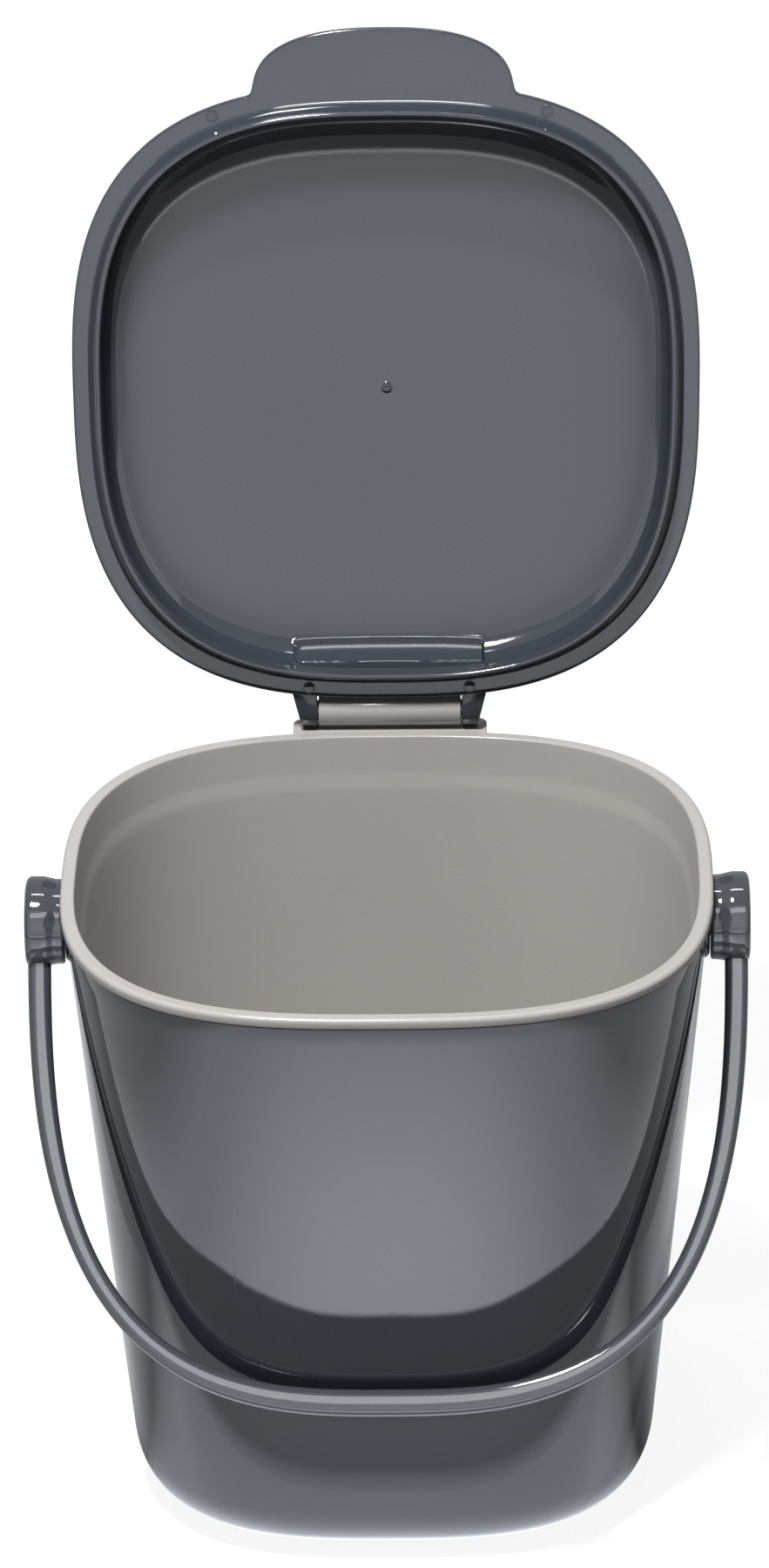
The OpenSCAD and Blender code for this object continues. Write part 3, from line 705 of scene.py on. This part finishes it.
# Matt paper. What the camera sees of it is lifted to a clean white that keeps the shadow.
paper = bpy.data.materials.new("pale_studio_paper")
paper.use_nodes = True
tree = paper.node_tree
tree.nodes.clear()
matt = add(tree, "ShaderNodeBsdfDiffuse", in_Color=linear("#8e8e8e"))
lift = add(tree, "ShaderNodeEmission", in_Color=(1, 1, 1, 1), in_Strength=0.9)
# Far from the caddy the paper glows for glossy rays only, a painted reflection of a lit wall, so
# shiny plastic sees no horizon line.
ray = add(tree, "ShaderNodeLightPath")
spot = add(tree, "ShaderNodeTexCoord")
distance = add(tree, "ShaderNodeVectorMath", [(0, spot, "Object")], operation="LENGTH")
paper_far_reflection_glow = span(tree, (distance, "Value"), 0.5, 0.9, 0.0, 0.35, interpolation_type="SMOOTHSTEP")
painted_wall_reflection = combine(tree, "MULTIPLY", (ray, "Is Glossy Ray"), paper_far_reflection_glow)
shown = combine(tree, "MAXIMUM", (ray, "Is Camera Ray"), painted_wall_reflection)
glow = add(tree, "ShaderNodeMixShader", [(0, *shown), (2, lift, "Emission")])
total = add(tree, "ShaderNodeAddShader", [(0, matt, "BSDF"), (1, glow, "Shader")])
add(tree, "ShaderNodeOutputMaterial", [("Surface", total, "Shader")])
floor_mesh.materials.append(paper)

# the room: dim for matt surfaces, a haze of light in reflections, white behind the caddy
ROOM_TINT, WHITE = (0.97, 0.98, 1.0, 1), (1, 1, 1, 1)
world = bpy.data.worlds.new("studio_room")
scene.world = world
world.use_nodes = True
tree = world.node_tree
tree.nodes.clear()
room = add(tree, "ShaderNodeBackground", in_Color=ROOM_TINT, in_Strength=0.1)
haze = add(tree, "ShaderNodeBackground", in_Color=ROOM_TINT, in_Strength=0.6)
backdrop = add(tree, "ShaderNodeBackground", in_Color=WHITE, in_Strength=1.0)
ray = add(tree, "ShaderNodeLightPath")
inside = add(tree, "ShaderNodeMixShader",
             [(0, ray, "Is Glossy Ray"), (1, room, "Background"), (2, haze, "Background")])
mixed = add(tree, "ShaderNodeMixShader",
            [(0, ray, "Is Camera Ray"), (1, inside, "Shader"), (2, backdrop, "Background")])
add(tree, "ShaderNodeOutputWorld", [("Surface", mixed, "Shader")])


def soft_box(name, place, target, size, power, only=()):
    """Rectangular area lamp at a place, facing a target, in metres and watts, out of view.
    Flags keep its light off everything but the pieces in only, if there are any."""
    lamp = bpy.data.lights.new(name, "AREA")
    lamp.shape, lamp.size, lamp.size_y, lamp.energy = "RECTANGLE", size[0], size[1], power
    thing = bpy.data.objects.new(name, lamp)
    facing = (Vector(target) - Vector(place)).to_track_quat("-Z", "Y")
    thing.matrix_world = Matrix.Translation(place) @ facing.to_matrix().to_4x4()
    thing.visible_camera = False
    scene.collection.objects.link(thing)
    if only:
        lit_pieces = bpy.data.collections.new("lit_by_" + name)
        for piece_lit in only:
            lit_pieces.objects.link(piece_lit)
        thing.light_linking.receiver_collection = lit_pieces
    return thing


def cleared(thing):
    """The node tree of a lamp, emptied."""
    thing.data.use_nodes = True
    thing.data.node_tree.nodes.clear()
    return thing.data.node_tree


def shine(tree, strength, tint):
    """End a lamp's nodes: its light has the given strength (node, output) and tint."""
    light = add(tree, "ShaderNodeEmission", [("Strength", *strength)], in_Color=tint)
    add(tree, "ShaderNodeOutputLight", [("Surface", light, "Emission")])


soft_box("key_soft_box", (-0.24, -0.54, 1.6), (0, 0, 0.15), (0.22, 0.22), 37)
soft_box("bar_soft_box", (0.15, -0.95, 1.04), (0, 0, 0.1), (1.1, 0.28), 4.2, (shell, handle))
soft_box("top_strip_box", (-0.02, 0.19, 1.5), (-0.02, 0.12, 0.3), (0.5, 0.07), 3.0)
soft_box("low_strip_box", (-0.2, -0.6, 0.01), (-0.2, 0, 0.35), (1.4, 0.04), 0.35)
for side_name, side_x, watts in (("left", -1.0, 2.4), ("right", 1.0, 3.0)):
    side_box = soft_box(side_name + "_soft_box", (side_x, 0.05, 0.6), (0, 0.05, 0.3),
                        (1.1, 0.9), watts, (lid,))
    side_box.visible_diffuse = False

# big front box, fading out from an oval in its middle towards its edges
OVAL_X, OVAL_Z, OVAL_HALF_X, OVAL_HALF_Z = 0.05, 0.3, 0.95, 0.7
front = soft_box("front_soft_box", (0.05, -0.62, 0.5), (0.05, 0, 0.5), (2.8, 1.0), 8.796,
                 (shell, lid, handle))
front.visible_diffuse = False
tree = cleared(front)
spot = add(tree, "ShaderNodeNewGeometry")
oval = add(tree, "ShaderNodeMapping", [("Vector", spot, "Position")],
           in_Location=(-OVAL_X / OVAL_HALF_X, 0, -OVAL_Z / OVAL_HALF_Z),
           in_Scale=(1 / OVAL_HALF_X, 0, 1 / OVAL_HALF_Z))
ring = add(tree, "ShaderNodeVectorMath", [(0, oval, "Vector")], operation="LENGTH")
shine(tree, span(tree, (ring, "Value"), 0.0, 0.75, 1.8, 0.75, interpolation_type="SMOOTHSTEP"),
      (0.88, 0.93, 1.0, 1))

# a flat box behind, for the back of the shell and of the lid
soft_box("rear_table_box", (0.0, 0.85, 0.002), (0, 0.85, 1.0), (1.8, 0.8), 10, (shell, lid, handle))

# light table: a flat box of light, brightest in front of a U-shaped mat that the caddy stands on.
# A place is on the mat where y + front is more than (|x| / spread) to the power of bend.
MAT_FRONT, MAT_SPREAD, MAT_BEND, MAT_EDGE = 0.168, 0.402, 3.3, 0.002
SIDE_FROM, SIDE_TO = 0.19, 0.265     # where the table dims towards its sides
BARE_HALF, BARE_EDGE = 0.176, 0.004  # half width and soft edge of the mat's bare middle
BRIGHTEST, BRIGHT_REACH = (0, -0.19, 0), 0.2
# share of the light that comes through the mat, by depth in from its edge in parts of MAT_DEPTH
MAT_DEPTH = 0.12
SEEPING = ((0.25, 0.0), (0.375, 0.25), (0.52, 0.22), (0.61, 0.75), (1.0, 0.28))

table = soft_box("table_soft_box", (0.0, -0.02, 0.002), (0, -0.02, 1.0), (0.9, 0.82), 2.318,
                 (shell, handle))
tree = cleared(table)
spot = add(tree, "ShaderNodeNewGeometry")
apart = add(tree, "ShaderNodeSeparateXYZ", [("Vector", spot, "Position")])
beside = (add(tree, "ShaderNodeMath", [(0, apart, "X")], operation="ABSOLUTE"), "Value")
bent = combine(tree, "POWER", combine(tree, "DIVIDE", beside, MAT_SPREAD), MAT_BEND)
inset = combine(tree, "SUBTRACT", combine(tree, "ADD", (apart, "Y"), MAT_FRONT), bent)
# off the mat, dimmer far out at the sides, where the shell's walls are seen at a grazing angle
clear = combine(tree, "MULTIPLY", span(tree, inset, -MAT_EDGE, 0.0, 1.0, 0.0),
                span(tree, beside, SIDE_FROM, SIDE_TO, 1.0, 0.35))
# through the mat in front of the caddy's foot
bands = add(tree, "ShaderNodeValToRGB", [("Fac", *span(tree, inset, 0.0, MAT_DEPTH, 0.0, 1.0))])
for at, share in SEEPING:
    bands.color_ramp.elements.new(at).color = (share, share, share, 1)
for end in (0, -1):
    bands.color_ramp.elements.remove(bands.color_ramp.elements[end])
seeping = combine(tree, "MULTIPLY", (bands, "Color"),
                  span(tree, (apart, "Y"), -0.06, -0.02, 1.0, 0.05))
# a bare place in the mat's middle, from the caddy's sides to behind it
bare = combine(tree, "MULTIPLY", span(tree, (apart, "Y"), -0.03, 0.03, 0.0, 0.22),
               span(tree, beside, BARE_HALF, BARE_HALF + BARE_EDGE, 1.0, 0.0))
lit = combine(tree, "MAXIMUM", combine(tree, "MAXIMUM", clear, bare), seeping)
middle = add(tree, "ShaderNodeVectorMath", [(0, spot, "Position")], operation="DISTANCE",
             in_1=BRIGHTEST)
fall = span(tree, (middle, "Value"), 0.0, BRIGHT_REACH, 4.3, 1.8, interpolation_type="SMOOTHSTEP")
shine(tree, combine(tree, "MULTIPLY", lit, fall), (0.88, 0.92, 1.0, 1))

# camera: from the front, looking down by 28 degrees from a little over two metres away
ELEVATION, YAW, ROLL = math.radians(28.251), math.radians(0.916), math.radians(-0.823)
DISTANCE, FOCAL_PX = 2.154, 9180.0
FRAME_W, FRAME_H, SENSOR = 883.0, 1800.0, 36.0
LOOKED_AT, LOOKED_AT_PX = Vector((0, 0, 0.1)), (448.32, 1277.32)
ahead = Vector((-math.sin(YAW) * math.cos(ELEVATION), math.cos(YAW) * math.cos(ELEVATION),
                -math.sin(ELEVATION)))
level_side = Vector((math.cos(YAW), math.sin(YAW), 0))
level_up = level_side.cross(ahead)
rolled_side = math.cos(ROLL) * level_side + math.sin(ROLL) * level_up
rolled_up = -math.sin(ROLL) * level_side + math.cos(ROLL) * level_up
# the frame's middle lies above the point looked at, so that the whole open lid is in the frame
axis = (ahead - rolled_side * (LOOKED_AT_PX[0] - FRAME_W / 2) / FOCAL_PX
        + rolled_up * (LOOKED_AT_PX[1] - FRAME_H / 2) / FOCAL_PX).normalized()
side_axis = axis.cross(rolled_up).normalized()
top_axis = side_axis.cross(axis).normalized()
lens = bpy.data.cameras.new("studio_camera")
lens.sensor_fit = "VERTICAL"
lens.sensor_height = SENSOR
lens.lens = FOCAL_PX / FRAME_H * SENSOR
lens.clip_end = 50.0
camera = bpy.data.objects.new("studio_camera", lens)
turned_to = Matrix((side_axis, top_axis, -axis)).transposed().to_4x4()
camera.matrix_world = Matrix.Translation(LOOKED_AT - DISTANCE * ahead) @ turned_to
scene.collection.objects.link(camera)
scene.camera = camera
